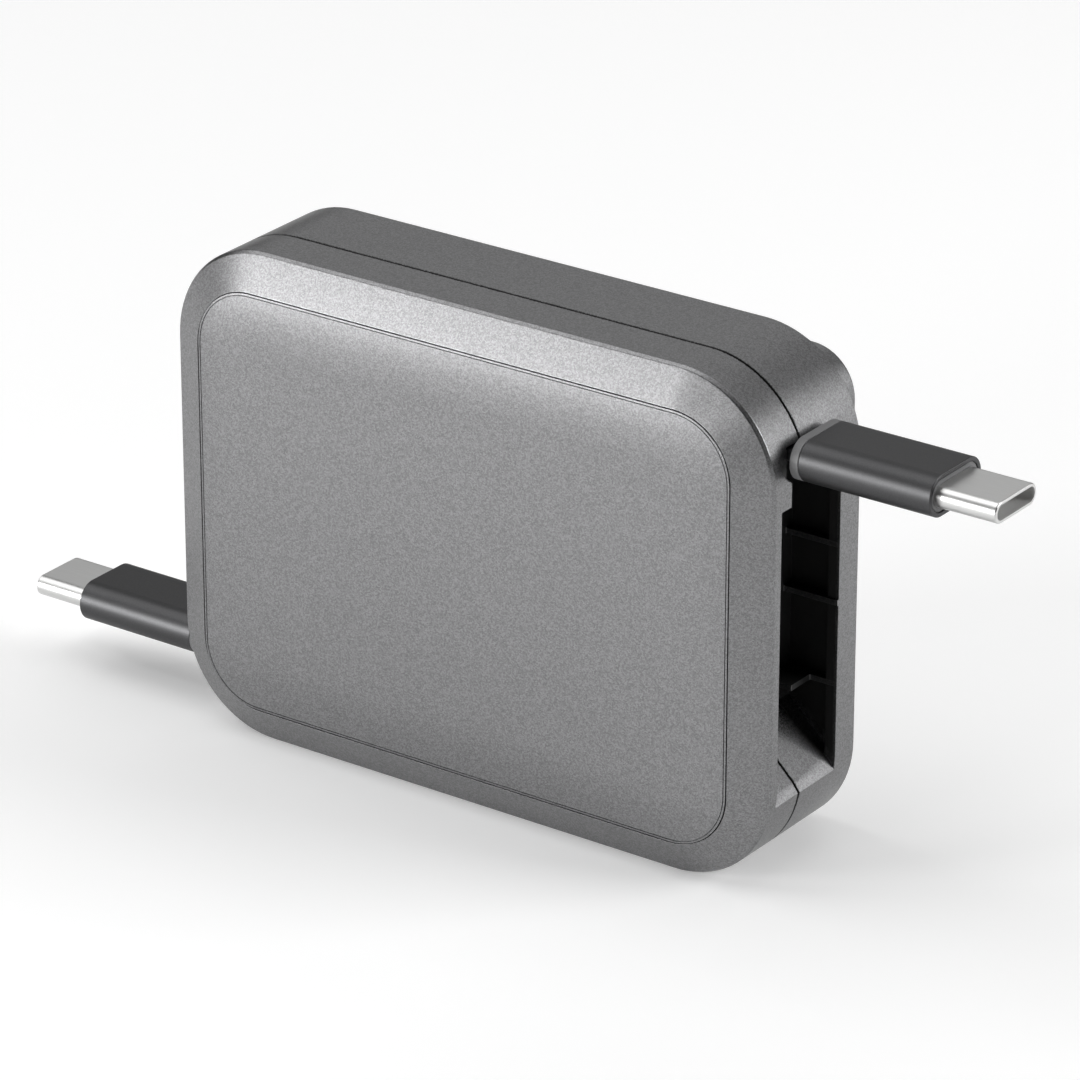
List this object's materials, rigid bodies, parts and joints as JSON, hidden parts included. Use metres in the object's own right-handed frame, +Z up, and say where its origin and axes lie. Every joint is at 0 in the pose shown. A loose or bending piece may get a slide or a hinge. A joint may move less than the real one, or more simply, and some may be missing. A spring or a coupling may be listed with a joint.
{
  "type": "retractable usb-c charging cable",
  "caption": "Flat charging cable on a spring reel in a rounded grey case, with a pull-out plug at two opposite corners and a stowing bay in each side.",
  "frame": {"origin": "on the surface it stands on, under the middle of the whole part", "axes": "+X to the right seen from the front, along the right plug; +Y from the front panel to the back; +Z up"},
  "size_m": [0.1334, 0.0238, 0.061],
  "materials": {
    "case_paint": "fine metallic grey paint on moulded plastic",
    "bare_steel": "turned steel",
    "spring_steel": "blued spring strip",
    "reel_moulding": "black moulded acetal",
    "pawl_moulding": "natural moulded acetal",
    "cable_jacket": "matt flat cable jacket",
    "plug_moulding": "grey moulded plastic",
    "anodised_sleeve": "dark grey satin anodised",
    "connector_steel": "bright nickel plated",
    "carrier_moulding": "grey moulded plastic",
    "gold_contacts": "gold plated",
    "board_laminate": "green solder mask"
  },
  "bodies": {
    "housing": {"front_shell": "case_paint", "front_panel": "case_paint", "rear_shell": "case_paint", "rear_cover": "case_paint", "centre_post": "bare_steel", "pawl_leaf": "spring_steel"},
    "reel": {"reel_drum": "reel_moulding", "ratchet_disc": "reel_moulding", "mainspring": "spring_steel", "cable_winding": "cable_jacket"},
    "pawl": {"pawl": "pawl_moulding"},
    "right_plug": {"right_plug_body": "plug_moulding", "right_plug_sleeve": "anodised_sleeve", "right_connector_shell": "connector_steel", "right_contact_carrier": "carrier_moulding", "right_contacts": "gold_contacts", "right_circuit_board": "board_laminate", "right_cable_end": "cable_jacket"},
    "left_plug": {"left_plug_body": "plug_moulding", "left_plug_sleeve": "anodised_sleeve", "left_connector_shell": "connector_steel", "left_contact_carrier": "carrier_moulding", "left_contacts": "gold_contacts", "left_circuit_board": "board_laminate", "left_cable_end": "cable_jacket"}
  },
  "joints": [
    {"name": "reel_turn", "type": "hinge", "parent": "housing", "child": "reel", "pos_m": [0, 0, 0.03003], "axis": [0, 1, 0], "range_deg": [0, 1440], "stiffness_Nm_per_rad": 0.002, "springref_deg": -171.89, "deforming": ["mainspring"]},
    {"name": "right_pull", "type": "slide", "parent": "housing", "child": "right_plug", "axis": [1, 0, 0], "range_m": [0, 0.417], "deforming": ["right_cable_end"]},
    {"name": "left_pull", "type": "slide", "parent": "housing", "child": "left_plug", "axis": [-1, 0, 0], "range_m": [0, 0.417], "deforming": ["left_cable_end"]},
    {"name": "pawl_swing", "type": "hinge", "parent": "housing", "child": "pawl", "pos_m": [-0.02086, -0.0074, 0.05089], "axis": [0, 1, 0], "range_deg": [0, 14]}
  ],
  "couplings": [
    {"joint": "right_pull", "follows": "reel_turn", "m_per_rad": 0.0166},
    {"joint": "left_pull", "follows": "reel_turn", "m_per_rad": 0.0166}
  ]
}
